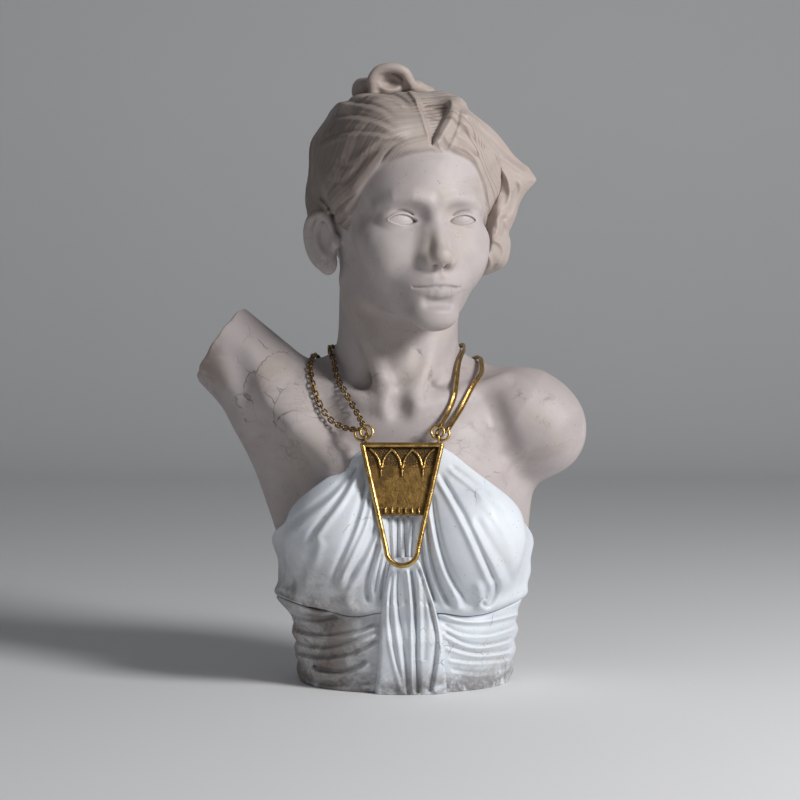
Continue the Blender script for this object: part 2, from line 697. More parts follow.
def head_detail():
    """Cheeks, brows, nose, lips, chin, eyes and ears, on the head's own axes."""
    out = []

    def add(form, k):
        out.append((form, k, True))

    def cut(form, k):
        out.append((form, k, False))

    # Cheeks, brows and eye hollows
    for s in (-1, 1):
        add(egg((s * 47, -44, -15), (18, 22, 15)), 14)
        add(egg((s * 37, -56, -33), (23, 24, 27)), 18)
        brow = [(s * 9, -85, 15), (s * 22, -84, 19.5), (s * 37, -76.5, 20), (s * 49, -64, 14)]
        add(string(brow, [5, 5, 4.5, 3]), 11)
        cut(egg((s * 28, -93.5, 3), (22, 16, 12)), 9)
    # Nose, round of the mouth and chin
    add(string([(0, -80, 12), (0, -87.5, -6), (0, -96.5, -23), (0, -102, -34)], [7, 6.2, 6.4, 7.2]), 9)
    add(egg((0, -102.5, -36.5), (8.6, 8.2, 7.4)), 6)
    add(egg((0, -73, -61), (28, 20, 24)), 14)
    for s in (-1, 1):
        add(limb((s * 7, -84, -14), (s * 11, -88, -36), 6, 7), 10)
        add(egg((s * 10.2, -93.0, -40), (6.0, 8.5, 6.4)), 6)
    add(limb((0, -102, -43), (0, -94, -46.5), 3.0, 3.4), 3)
    for s in (-1, 1):
        cut(egg((s * 6, -99, -46.5), (3.0, 4.8, 3.2), lean(z=s * 20)), 1.5)
    cut(limb((0, -97.5, -50), (0, -98, -57), 1.8, 2.2), 4)
    add(egg((0, -78, -92), (20, 13.5, 13.5)), 14)
    cut(limb((-10, -93, -79.5), (10, -93, -79.5), 3.4), 8)
    # Lips, the line between them and the eyes
    for s in (-1, 1):
        upper = [(0, -91.4, -61.2), (s * 5.5, -92, -60.3), (s * 14.5, -88.6, -62.2), (s * 23, -83.4, -64.4)]
        lower = [(0, -90.4, -69.6), (s * 7.5, -90, -69.3), (s * 15, -87, -67.9), (s * 22, -83.2, -65.4)]
        add(string(upper, [3.2, 3.5, 2.7, 1.1]), 4.5)
        add(string(lower, [4.2, 4.1, 3.0, 1.1]), 4.5)
    for s in (-1, 1):
        cut(string([(0, -96.0, -65.0), (s * 5, -95.8, -64.5), (s * 12, -93.2, -65.0), (s * 18, -90.2, -65.0),
                    (s * 24, -86.6, -64.4)], [1.0, 1.0, 1.0, 0.9, 0.5]), 2.2)
        add(egg((s * EYE_OUT, EYE_Y, 0), (21.5, LID_R, LID_R)), 3)
        cut(almond(s), 0.7)
        add(egg((s * EYE_OUT, EYE_Y, 0), (19.5, 14.8, 14.8)), 0.6)
        add(string(lid_line(s, 0.5, 14.5, -0.3), LID_RADII), 0.8)
        add(string(lid_line(s, 0.4, 14.0, -0.4, True), THIN_RADII), 0.9)
        cut(string(lid_line(s, 3.0, 13.0, 0.5), THIN_RADII), 2.0)
    for s in (-1, 1):
        for form, k, more in ear():
            out.append((form if s < 0 else mirrored(form), k, more))
    return out


EAR_RIM = [(-77, 3, -8), (-81, 6, 7), (-87, 14, 15), (-94, 25, 11.5), (-97, 31, -3), (-94, 28.5, -20),
           (-87, 21, -34)]
EAR_FOLD = [(-88, 15, 8), (-91.5, 22, -4), (-89, 19, -18), (-84.5, 13, -28)]


def ear():
    """The figure's right ear: plate, lobe, hollow, rim, inner fold, ear hole and the flap before it."""
    out = lean(z=46)
    return [(egg((-84.5, 20, -12), (6.0, 18, 28), out), 6, True),
            (egg((-80, 14, -36), (6.0, 9.5, 11), out), 6, True),
            (egg((-91, 14.5, -8), (6.0, 11.5, 18), out), 3.5, False),
            (rope(EAR_RIM, [2.0, 3.2, 4.2, 4.4, 4.2, 4.0, 4.0]), 5.0, True),
            (rope(EAR_FOLD, [2.0, 3.0, 3.0, 2.4]), 4.0, True),
            (egg((-84.5, 7.5, -14), (6.5, 7.0, 9.0), out), 3.0, False),
            (egg((-75.5, 1.5, -16), (4.5, 4.5, 6)), 7, True)]


HEAD_DETAIL = head_detail()
BODY_DETAIL = body_detail()


# Drapery

FOOT_W, FOOT_FRONT, FOOT_BACK = 107.0, 88.0, 78.0
SASH_H, SASH_FLARE, SASH_WALL, POCKET_FLOOR = 78.0, 9.0, 27.0, 24.0
BODICE_THICK, FALL_THICK, FALL_TOP, FALL_BACK = 6.0, 7.5, 134, -40
BED, HAIR_BED, SEAM_BED = 0.25, 0.2, 0.1   # gaps in the joints between stones


# Folds of the bodice in DRESS_VIEW: line, width in pixels, height and rolled edge in millimetres
BODICE_FOLDS = (
    ([(552, 110), (500, 215), (430, 320), (350, 420), (265, 545)], 2.6, -3.2, -2.6),
    ([(590, 170), (560, 330), (510, 480), (440, 640), (395, 790)], 2.8, -3.2, -2.6),
    ([(610, 260), (575, 420), (520, 540), (470, 650), (420, 760)], 2.2, -2.2, -2.0),
    ([(520, 150), (430, 250), (330, 330), (215, 415), (150, 500)], 3.2, -1.8, -1.8),
    ([(330, 480), (290, 600), (250, 690), (190, 800)], 4.0, -2.0, -2.0),
    ([(640, 420), (590, 560), (500, 700), (450, 820)], 3.0, -3.0, -2.8),
    ([(650, 500), (615, 620), (585, 720), (600, 850)], 2.4, -3.4, -2.8),
    ([(668, 560), (640, 690), (625, 810)], 1.7, -2.6, -1.6),
    ([(690, 600), (668, 720), (660, 830)], 1.5, -2.2, -1.4),
    ([(945, 150), (1010, 255), (1090, 400), (1165, 560), (1245, 730), (1250, 810)], 2.6, -3.4, 2.4),
    ([(915, 250), (935, 420), (965, 560), (1010, 690), (1080, 800), (1115, 865)], 2.6, -3.6, 2.6),
    ([(890, 380), (905, 540), (935, 680), (985, 800), (1030, 870)], 2.2, -3.0, 2.0),
    ([(862, 480), (875, 620), (905, 740), (945, 850)], 1.9, -2.8, 1.8),
    ([(1000, 120), (1110, 200), (1220, 290), (1310, 390)], 2.2, -1.6, 2.0),
    ([(1130, 380), (1210, 520), (1290, 640), (1330, 760)], 4.2, -1.6, 1.8),
    ([(1160, 250), (1290, 390), (1360, 520), (1385, 650)], 3.6, -1.2, 1.4),
    ([(1170, 820), (1205, 860), (1240, 790), (1255, 700)], 2.2, -2.4, -1.6),
    ([(120, 760), (200, 800), (300, 842), (430, 872)], 2.8, -3.0, 2.4))


# Swells over the sash: line, width, height, and how much of each end fades
BODICE_SWELLS = (
    ([(480, 640), (470, 760), (490, 850), (560, 860)], 6.5, 4.2, (0.4, 0.3)),
    ([(1150, 700), (1170, 800), (1170, 880)], 5.5, 3.4, (0.4, 0.2)),
    ([(1010, 760), (1050, 830), (1060, 880)], 4.2, 2.4, (0.4, 0.2)))
# Small upright folds between the halves: column at the top, column at the foot, height
GATHERS = ((700, 716, -1.7), (722, 730, 1.3), (745, 745, -2.0), (762, 765, 1.3), (778, 790, -2.0),
           (800, 806, 1.2), (822, 815, -1.6))
GATHER_ROWS = (385, 470, 540, 625)


def dress_relief():
    """Folds of the dress as seen from the front."""
    r = Relief(*DRESS_VIEW)
    for line, wide, deep, roll in BODICE_FOLDS:
        r.stroke(line, wide, deep, roll, grow=1.35, ends=(0.12, 0.2))
    for line, wide, rise, ends in BODICE_SWELLS:
        r.stroke(line, wide, rise, ends=ends)
    for x0, x1, rise in GATHERS:
        columns = (x0, x0, (x0 + x1) / 2, x1)
        r.stroke(list(zip(columns, GATHER_ROWS)), 1.3, rise, ends=(0.05, 0.1))
    return r


# Folds of the sash in SASH_VIEW, given in the same way
SASH_FOLDS = (
    ([(150, 930), (250, 975), (380, 1000), (520, 985), (660, 925)], 2.2, -3.4, 2.6),
    ([(190, 1010), (300, 1050), (430, 1055), (560, 1010), (660, 960)], 2.0, -2.2, 2.0),
    ([(210, 1075), (330, 1108), (480, 1105), (580, 1060), (660, 1005)], 2.2, -3.4, 2.8),
    ([(310, 1145), (380, 1180), (470, 1185), (540, 1160), (600, 1110)], 2.6, -4.6, 3.0),
    ([(240, 1180), (340, 1235), (480, 1255), (640, 1230)], 2.4, -1.8, 1.6),
    ([(200, 890), (300, 915), (400, 905), (450, 890)], 2.6, -2.6, 1.8),
    ([(975, 935), (1070, 985), (1200, 990), (1300, 960), (1370, 930)], 1.8, -2.0, 1.6),
    ([(980, 975), (1090, 1040), (1200, 1045), (1340, 1005)], 1.8, -2.8, 2.2),
    ([(990, 1045), (1110, 1085), (1220, 1085), (1340, 1060)], 1.8, -2.4, 2.0),
    ([(1000, 1110), (1130, 1130), (1260, 1120), (1335, 1100)], 1.8, -1.6, 1.4),
    ([(1010, 1165), (1130, 1190), (1250, 1175), (1330, 1145)], 2.0, -1.4, 1.2))


SASH_HEM = [(950, 880), (1050, 925), (1180, 930), (1290, 905), (1370, 885)]


def sash_relief():
    r = Relief(*SASH_VIEW)
    for line, wide, deep, roll in SASH_FOLDS:
        r.stroke(line, wide, deep, roll, ends=(0.06, 0.12))
    r.stroke(SASH_HEM, 2.4, 3.6, ends=(0.02, 0.02))
    return r


# Folds of the front fall in FALL_VIEW, given in the same way
FALL_FOLDS = (
    ([(748, 650), (742, 800), (760, 950), (785, 1120), (800, 1300)], 2.2, -3.2, 2.0),
    ([(812, 650), (832, 800), (840, 1000), (842, 1160), (846, 1300)], 2.2, -5.4, 3.0),
    ([(850, 640), (890, 760), (925, 900), (945, 1030), (930, 1160), (905, 1290)], 2.2, -3.6, -2.4),
    ([(720, 680), (705, 850), (712, 1000), (740, 1130), (780, 1280)], 1.6, -1.6, 1.4),
    ([(870, 700), (880, 860), (885, 1000), (880, 1130)], 2.0, -1.4, 1.4))


# Sides of the front fall: row and column of the photograph
FALL_LEFT = profile([(562, 391), (572, 388), (608, 381.4), (647, 378.5), (677, 376.5), (700, 374)], 4)
FALL_RIGHT = profile([(560, 419), (572, 423), (604, 433.8), (638, 442.7), (667, 444.7), (700, 448.5)], 4)


def fall_relief():
    r = Relief(*FALL_VIEW)
    for line, wide, deep, roll in FALL_FOLDS:
        r.stroke(line, wide, deep, roll, grow=1.3, ends=(0.04, 0.02))
    return r


DRESS_RELIEF = dress_relief()
SASH_RELIEF = sash_relief()
FALL_RELIEF = fall_relief()
# Height of the neckline by the angle from the front
NECK_TURNS = profile([(0, 240), (26, 240), (36, 228), (46, 209), (57, 188), (70, 167), (88, 150), (105, 128),
                      (122, 103), (180, 102)], 6)


def forward(p, start=30.0, width=50.0):
    """1 where the front folds hold, fading to 0 round the sides."""
    return ramp((start - p[:, 1]) / width)


# Rise of the joint between bodice and sash by the place across the front
SEAM_RISE = profile([(-125, 8), (-100, 5), (-80, 1), (-58, -4), (-45, -5), (-28, 0), (0, 1), (40, -1),
                     (58, -5), (80, -4), (98, 0), (125, 6)], 8)
LIP, LIP_AT, LIP_H = 3.6, 5.0, 8.0


def seam(p):
    """Height of the joint between bodice and sash."""
    return SASH_H + SEAM_RISE(p[:, 0]) * forward(p)


def from_front(p):
    """Angle from the front in degrees, the same on both sides."""
    return np.degrees(np.arctan2(np.abs(p[:, 0]), -p[:, 1]))


def bodice_skin(p, bare):
    """Outside of the bodice before it is trimmed."""
    x, y, z = p.T
    front = forward(p)
    turn = from_front(p)
    round_back = 1.1 * np.sin(z / 4.6 + 0.05 * turn + 0.9 * np.sin(turn / 19)) * (1 - front)
    blouse = 3.0 * ramp((122 - z) / 40) * front
    blouse = blouse + 8.0 * np.exp(-((z - 82) / 17) ** 2) * ramp((-x - 66) / 36) * ramp((60 - y) / 60)
    return bare - BODICE_THICK - DRESS_RELIEF.at(p) * front - round_back - blouse


def bodice_trim(p, d, clay):
    """A skin of the bodice cut at the neckline, at the sash and at the body under it."""
    d = smooth_max(d, (p[:, 2] - NECK_TURNS(from_front(p))) * 0.8, 4)
    d = -smooth_min(-d, p[:, 2] - seam(p) - SEAM_BED, 5)
    return np.maximum(d, -(clay.d - BED))


def pouched(p, d):
    """The bodice hangs over the sash in a soft lip."""
    return d - LIP * np.exp(-((p[:, 2] - seam(p) - LIP_AT) / LIP_H) ** 2) * forward(p)


def bodice(p):
    bare, clay = body_fields(p)
    return bodice_trim(p, pouched(p, bodice_skin(p, bare)), clay)


def sash_skin(p, bare):
    """Outside of the sash before it is trimmed; near its top it takes the line of the bodice."""
    x, y, z = p.T
    t = np.clip(z / SASH_H, 0, 1.1)
    front = forward(p, 10.0, 60.0)
    a = np.arctan2(y, x)
    wrap = 4 * t + 0.35 * np.sin(a) + 0.2 * np.sin(2 * a)
    round_back = 3.5 * (np.abs(np.sin(np.pi * wrap)) - 0.75) * (1 - front)
    w = FOOT_W + SASH_FLARE * t
    depth = np.where(y < 0, FOOT_FRONT, FOOT_BACK) + SASH_FLARE * t
    rho = np.maximum(np.sqrt((x / w) ** 2 + (y / depth) ** 2), 1e-3)
    steep = np.sqrt((x / w ** 2) ** 2 + (y / depth ** 2) ** 2) / rho
    plain = (rho - 1) / np.maximum(steep, 1e-4) - round_back
    rise = ramp((z - 50) / 26)
    return plain + (bodice_skin(p, bare) - plain) * rise - SASH_RELIEF.at(p) * front


def sash_trim(p, d):
    """A skin of the sash cut at the bodice and the base, with the pocket for the torso."""
    z = p[:, 2]
    d = -smooth_min(-d, seam(p) - SEAM_BED - z, 1.2)
    w, depth = FOOT_W - SASH_WALL, np.where(p[:, 1] < 0, FOOT_FRONT, FOOT_BACK) - SASH_WALL
    rho = np.maximum(np.sqrt((p[:, 0] / w) ** 2 + (p[:, 1] / depth) ** 2), 1e-3)
    d = np.maximum(d, -np.maximum((rho - 1) * depth, POCKET_FLOOR - z))
    return np.maximum(d, -z)


def sash(p):
    return sash_trim(p, sash_skin(p, mass(p)))


def front_fall(p):
    """The fall of cloth down the middle, laid on the bodice and the sash."""
    bare, clay = body_fields(p)
    upper, lower = bodice_skin(p, bare), sash_skin(p, bare)
    px, py = to_frame(p)
    d = smooth_min(upper, np.maximum(lower, p[:, 2] - SASH_H), 8) - FALL_THICK - FALL_RELIEF.at(p)
    edge = np.maximum(FALL_LEFT(py) - px, px - FALL_RIGHT(py))
    d = smooth_max(d, edge, 6)
    d = -smooth_min(-d, FALL_TOP - p[:, 2], 6)
    d = np.maximum(d, np.maximum(-p[:, 2], p[:, 1] - FALL_BACK))
    return np.maximum(d, BED - np.minimum(bodice_trim(p, pouched(p, upper), clay), sash_trim(p, lower)))


# Hair that is cut from its own stones

# Outline, hollow and drilled holes of the wing in WING_VIEW; a hole is its place, width and depth
WING_OUTLINE = [(1060, 280), (1066, 226), (1096, 206), (1184, 270), (1250, 328), (1316, 404), (1350, 452),
                (1390, 484), (1422, 500), (1448, 540), (1474, 572), (1446, 612), (1402, 650), (1376, 705),
                (1368, 745), (1344, 800), (1326, 828), (1340, 852), (1336, 910), (1320, 970), (1280, 1004),
                (1228, 1028), (1150, 1040), (1125, 1000), (1148, 880), (1168, 760), (1164, 640),
                (1138, 520), (1084, 400)]
WING_HOLLOW = [(1190, 520), (1230, 485), (1300, 560), (1310, 640), (1270, 700), (1245, 800), (1215, 860),
               (1200, 740), (1200, 620)]
WING_DEEP = 6
WING_HOLES = (((1248, 556), 1.4, 9), ((1246, 585), 1.0, 5))
# Curls of the wing in WING_VIEW, given as the folds are
WING_STROKES = (
    ([(1110, 320), (1210, 410), (1320, 490), (1450, 575)], 3.4, 4.2, 0),
    ([(1150, 300), (1240, 380), (1330, 470), (1400, 520)], 1.8, -2.2, 1.4),
    ([(1170, 500), (1215, 470), (1275, 500), (1320, 570), (1335, 650), (1300, 740)], 3.0, 4.6, 0),
    ([(1345, 560), (1385, 600), (1362, 690), (1318, 780)], 2.6, 3.6, -2.2),
    ([(1320, 740), (1285, 760), (1300, 810), (1270, 850)], 2.4, -3.6, 2.8),
    ([(1230, 850), (1290, 870), (1305, 940), (1250, 1000)], 2.8, 4.4, -2.6),
    ([(1190, 900), (1230, 930), (1240, 985), (1190, 1020)], 2.4, 3.6, 0),
    ([(1215, 780), (1225, 870), (1200, 960)], 2.2, -3.4, 0),
    ([(1240, 545), (1262, 620), (1250, 700)], 1.8, -3.6, 2.0))


def wing_relief():
    r = Relief(*WING_VIEW)
    r.edge = r.signed(rounded(WING_OUTLINE))
    r.h += -WING_DEEP * r.inside(WING_HOLLOW, 6)
    for line, wide, deep, roll in WING_STROKES:
        r.stroke(line, wide, deep, roll)
    for at, wide, deep in WING_HOLES:
        r.h -= deep * drill_hole(r, at, wide)
    return r


def drill_hole(r, at, wide):
    p = r.pixels([at])[0]
    return np.exp(-((r.x - p[0]) ** 2 + (r.y - p[1]) ** 2) / wide ** 2)


WING_RELIEF = wing_relief()


def side_lock(p):
    """The loose wing of hair beside the face, kept to its outline and swelling between its edges."""
    edge = WING_RELIEF.at(p, WING_RELIEF.edge)
    y = p[:, 1] - (17 + 0.10 * (p[:, 0] - 90) + 6.0 * np.sin((p[:, 2] - 470) / 26.0))
    swell = (5 + 24 * np.sin(np.pi / 2 * np.clip(-edge / 24, 0, 1))) * (1 - 0.5 * ramp((p[:, 0] - 90) / 40))
    relief = WING_RELIEF.at(p)
    run = p[:, 0] * 0.75 - p[:, 2] * 0.25 + 5.0 * np.sin(p[:, 2] / 17.0)
    lines = 0.6 * np.sin(run / 2.9 + 1.2 * np.sin(p[:, 2] / 11.0)) + 0.2 * np.sin(run / 1.3 + 1.0)
    deep = y + 4.0 * np.sin(p[:, 2] / 16.0)
    grooves = 0.9 * np.sin(deep / 4.2) + 0.15 * np.sin(deep / 1.5)
    front = -y - swell - relief - 0.35 * lines
    back = y - swell * 0.9 - lines
    d = smooth_max(np.maximum(front, back), edge - grooves, 14)
    root = egg((76, 40, 492), (18, 20, 26))[2](*p.T) + 0.4 * lines
    return np.maximum(smooth_min(d, root, 10), -(flesh(p) - HAIR_BED))


def topknot(p):
    clay = Clay(p)
    clay.add(egg((-18, 24, 595), (20, 25, 15)), 6)
    clay.add(egg((-41, 34, 591), (13, 20, 13)), 6)
    clay.add(egg((-24, 52, 593), (26, 18, 15)), 8)
    clay.add(egg((8, 22, 592), (13, 15, 9)), 5)
    clay.add(egg((20, 30, 588), (11, 14, 8)), 5)
    clay.cut(egg((-13, -2, 597), (13, 13, 7.5)), 4)
    loop = smoothed([(-32, 6, 588), (-33, 3, 601), (-25, 2, 609), (-11, 1, 611), (1, 3, 606), (6, 8, 594)], 3)
    clay.add(string(loop, [5.3] * len(loop)), 4)
    clay.cut(string([(0, 0, 594), (4, 8, 588), (8, 4, 583)], [2, 2.4, 2]), 3)
    turn = np.arctan2(p[:, 1] - 30, p[:, 0] + 18)
    fine = 0.07 * np.sin(p[:, 2] / 0.8 + turn + 0.6 * np.sin(3 * turn))
    clay.d = clay.d - fine - 0.2 * np.sin(p[:, 2] / 2.6 + turn)
    return np.maximum(clay.d, -(flesh(p) - HAIR_BED))


# Meshes

def put(mesh, points):
    mesh.vertices.foreach_set("co", (points * MM).astype(np.float32).ravel())


def make_mesh(name, points, faces):
    mesh = bpy.data.meshes.new(name)
    mesh.vertices.add(len(points))
    put(mesh, points)
    size = faces.shape[1]
    mesh.loops.add(faces.size)
    mesh.loops.foreach_set("vertex_index", faces.astype(np.int32).ravel())
    mesh.polygons.add(len(faces))
    mesh.polygons.foreach_set("loop_start", (np.arange(len(faces)) * size).astype(np.int32))
    mesh.update(calc_edges=True)
    mesh.validate()
    mesh.shade_smooth()
    return mesh


def normals(mesh):
    out = np.zeros(len(mesh.vertices) * 3, np.float32)
    mesh.vertex_normals.foreach_get("vector", out)
    return out.reshape(-1, 3).astype(float)


def relaxed(mesh, points, rounds):
    """Points drawn towards the middle of their neighbours, as if rubbed with sand."""
    ends = np.zeros(len(mesh.edges) * 2, np.int32)
    mesh.edges.foreach_get("vertices", ends)
    a, b = ends.reshape(-1, 2).T
    size = len(points)
    count = np.bincount(a, minlength=size) + np.bincount(b, minlength=size)

    def gathered(values):
        return np.bincount(a, values[b], size) + np.bincount(b, values[a], size)

    for _ in range(rounds):
        total = np.stack([gathered(points[:, i]) for i in range(3)], axis=1)
        points = points + 0.5 * (total / np.maximum(count, 1)[:, None] - points)
    return points


def all_hair(points):
    """Marks of the loose locks: hair all over, with lines down their length."""
    x, y, z = points.T
    return np.ones(len(points)), 0.4 * np.sin((0.75 * x + 0.35 * y - 0.25 * z + 5.0 * np.sin(z / 17.0)) * 2.2)


def carve(name, form, marks=None):
    """Mesh of a form, drawn onto its surface, that keeps the depth of hollows and edges for dirt and wear."""
    low, high, step = BOXES[name]
    points, quads = sculpt(form, low, high, step)
    mesh = make_mesh(name, points, quads)
    for _ in range(2):
        way = normals(mesh)
        points = points - 0.6 * np.clip(measured(form, points), -0.3 * step, 0.3 * step)[:, None] * way
        put(mesh, points)
        mesh.update()
    points = relaxed(mesh, points, 2)
    put(mesh, points)
    mesh.update()
    dip = np.sum((relaxed(mesh, points, 30) - points) * normals(mesh), axis=1)
    hair, strand = marks(points) if marks else (np.zeros(len(points)), np.zeros(len(points)))
    layers = {"hollow": np.clip(dip, 0, 2), "worn": np.clip(-dip, 0, 2), "hair": hair, "strand": strand}
    for key, values in layers.items():
        layer = mesh.attributes.new(key, "FLOAT", "POINT")
        layer.data.foreach_set("value", values.astype(np.float32))
    return mesh


def keep_side(mesh, at, way):
    """Copy of a mesh with all past the plane cut off and the cut closed flat."""
    bm = bmesh.new()
    bm.from_mesh(mesh)
    geom = bm.verts[:] + bm.edges[:] + bm.faces[:]
    cut = bmesh.ops.bisect_plane(bm, geom=geom, plane_co=Vector(at * MM), plane_no=Vector(way),
                                 clear_outer=True)
    edges = [e for e in cut["geom_cut"] if isinstance(e, bmesh.types.BMEdge)]
    filled = bmesh.ops.holes_fill(bm, edges=edges, sides=0)
    for f in filled["faces"]:
        f.smooth = False
        for e in f.edges:
            e.smooth = False
    out = mesh.copy()
    bm.to_mesh(out)
    bm.free()
    return out


def piece(node, mesh, material):
    """Carved stone that stands for a node."""
    ob = bpy.data.objects.new(node + "_stone", mesh)
    bpy.context.scene.collection.objects.link(ob)
    mesh.materials.clear()
    mesh.materials.append(material)
    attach(ob, "root")
    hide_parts(node)


def warm_piece(node, mesh):
    piece(node, mesh, flesh_stone)


def white_piece(node, mesh):
    piece(node, mesh, cloth_stone)


# Materials

class Paint:
    """A procedural material, built from values that can be mixed."""

    def __init__(self, name):
        self.material = bpy.data.materials.new(name)
        self.material.use_nodes = True
        self.tree = self.material.node_tree
        self.shader = self.tree.nodes["Principled BSDF"]
        place = self.tree.nodes.new("ShaderNodeTexCoord")
        self.place = place.outputs["Object"]

    def feed(self, value, socket):
        """Gives a socket a plain value or the output of another node."""
        if isinstance(value, bpy.types.NodeSocket):
            self.tree.links.new(value, socket)
        else:
            socket.default_value = value

    def node(self, kind, inputs=None, **settings):
        n = self.tree.nodes.new(kind)
        for key, value in settings.items():
            setattr(n, key, value)
        for key, value in (inputs or {}).items():
            self.feed(value, n.inputs[key])
        return n

    def noise(self, scale, detail=4.0, rough=0.55, warp=0.0, at=None):
        inputs = {"Vector": at or self.place, "Scale": scale, "Detail": detail, "Roughness": rough,
                  "Distortion": warp}
        return self.node("ShaderNodeTexNoise", inputs).outputs["Fac"]

    def warped(self, scale, amount):
        """Coordinates pushed about by noise."""
        push = self.node("ShaderNodeTexNoise", {"Vector": self.place, "Scale": scale, "Detail": 3.0})
        inputs = {0: push.outputs["Color"], 1: (amount, amount, amount)}
        move = self.node("ShaderNodeVectorMath", inputs, operation="MULTIPLY").outputs[0]
        return self.node("ShaderNodeVectorMath", {0: self.place, 1: move}, operation="ADD").outputs[0]

    def cells(self, scale, feature="F1", at=None):
        inputs = {"Vector": at or self.place, "Scale": scale}
        return self.node("ShaderNodeTexVoronoi", inputs, feature=feature).outputs["Distance"]

    def attribute(self, name):
        return self.node("ShaderNodeAttribute", attribute_name=name).outputs["Fac"]

    def axis(self, name):
        return self.node("ShaderNodeSeparateXYZ", {0: self.place}).outputs[name]

    def span(self, value, low, high, a=0.0, b=1.0):
        """Value from low to high turned smoothly into a to b."""
        inputs = {"Value": value, "From Min": low, "From Max": high, "To Min": a, "To Max": b}
        return self.node("ShaderNodeMapRange", inputs, interpolation_type="SMOOTHSTEP").outputs["Result"]

    def math(self, operation, a, b):
        return self.node("ShaderNodeMath", {0: a, 1: b}, operation=operation).outputs[0]

    def times(self, *values):
        out = values[0]
        for v in values[1:]:
            out = self.math("MULTIPLY", out, v)
        return out

    def mix(self, amount, a, b):
        n = self.tree.nodes.new("ShaderNodeMix")
        n.data_type = "RGBA"
        for i, value in ((0, amount), (6, a), (7, b)):
            self.feed((*value, 1.0) if isinstance(value, tuple) else value, n.inputs[i])
        return n.outputs[2]

    def set(self, **values):
        for key, value in values.items():
            self.feed(value, self.shader.inputs[key.replace("_", " ")])

    def bump(self, height, depth, strength=1.0):
        n = self.node("ShaderNodeBump", {"Height": height, "Distance": depth, "Strength": strength})
        self.tree.links.new(n.outputs[0], self.shader.inputs["Normal"])


# Colours: light, dark and warm tone of each ground, then of what lies on it
IVORY = (0.51, 0.455, 0.445), (0.42, 0.37, 0.365), (0.48, 0.405, 0.345)
WHITE = (0.75, 0.785, 0.835), (0.65, 0.685, 0.73), (0.69, 0.70, 0.70)
GOLD = (0.68, 0.46, 0.17), (0.48, 0.29, 0.085)
PLATE_GOLD = (0.36, 0.215, 0.07), (0.25, 0.145, 0.045)
CHAIN_GOLD = (0.40, 0.25, 0.085), (0.24, 0.14, 0.045)
FLOOR = (0.78, 0.78, 0.785), (0.80, 0.80, 0.80)
CRACK = (0.10, 0.08, 0.07)
RUBBED_IVORY = (0.66, 0.595, 0.55)
HAIR_TINT = (0.40, 0.32, 0.26)
HAIR_LINES = (0.19, 0.14, 0.11)
HAIR_SHADE = (0.14, 0.11, 0.095)
BREAK_DIRT = (0.27, 0.20, 0.15)
STAIN = (0.31, 0.25, 0.21)
GRIME = (0.20, 0.15, 0.12)
HOLLOW_DIRT = (0.14, 0.10, 0.08)
RUBBED_WHITE = (0.82, 0.84, 0.87)
SASH_STAIN = (0.34, 0.28, 0.235)
SASH_DIRT = (0.19, 0.15, 0.125)
BLOTS = (0.10, 0.085, 0.075)
FOOT_DIRT = (0.15, 0.13, 0.12)
FOLD_DIRT = (0.26, 0.245, 0.24)
GILT_DIRT = (0.05, 0.03, 0.015)
BELOW_FACE = (0.39, 0.34)   # heights in metres between which cracks and grime set in
STIPPLE_FROM = 0.2215       # height on the pendant's plate above which its ground is stippled


def stone(name, light, dark, warm):
    """Marble: clouds of two tones, fine dark cracks and specks, dirt in its hollows."""
    p = Paint(name)
    cloud = p.span(p.noise(9.0, 5.0, 0.6, 0.6), 0.36, 0.66)
    tone = p.mix(cloud, light, dark)
    tone = p.mix(p.times(p.span(p.noise(16.0, 4.0), 0.52, 0.72), 0.55), tone, warm)
    veins = p.cells(26.0, "DISTANCE_TO_EDGE", p.warped(30.0, 0.03))
    patches = p.times(p.span(p.noise(11.0, 3.0), 0.55, 0.63), p.span(p.axis("Z"), *BELOW_FACE))
    crack = p.times(p.span(veins, 0.018, 0.004), patches, p.span(p.noise(60.0, 3.0), 0.44, 0.56))
    fine = p.cells(75.0, "DISTANCE_TO_EDGE", p.warped(70.0, 0.014))
    crack_fine = p.times(p.span(fine, 0.03, 0.008), p.span(p.noise(14.0, 3.0, 0.5, 0.3), 0.60, 0.68), 0.45)
    dots = p.cells(260.0)
    speck = p.times(p.span(dots, 0.22, 0.12), p.span(p.noise(95.0, 2.0), 0.55, 0.64))
    marks = p.math("MAXIMUM", p.math("MAXIMUM", crack, crack_fine), p.times(speck, 0.75))
    tone = p.mix(p.times(marks, 0.62), tone, CRACK)
    hollow = p.span(p.attribute("hollow"), 0.2, 1.1)
    worn = p.span(p.noise(38.0, 5.0, 0.65), 0.30, 0.62, 0.45, 1.0)
    return p, tone, hollow, worn, marks


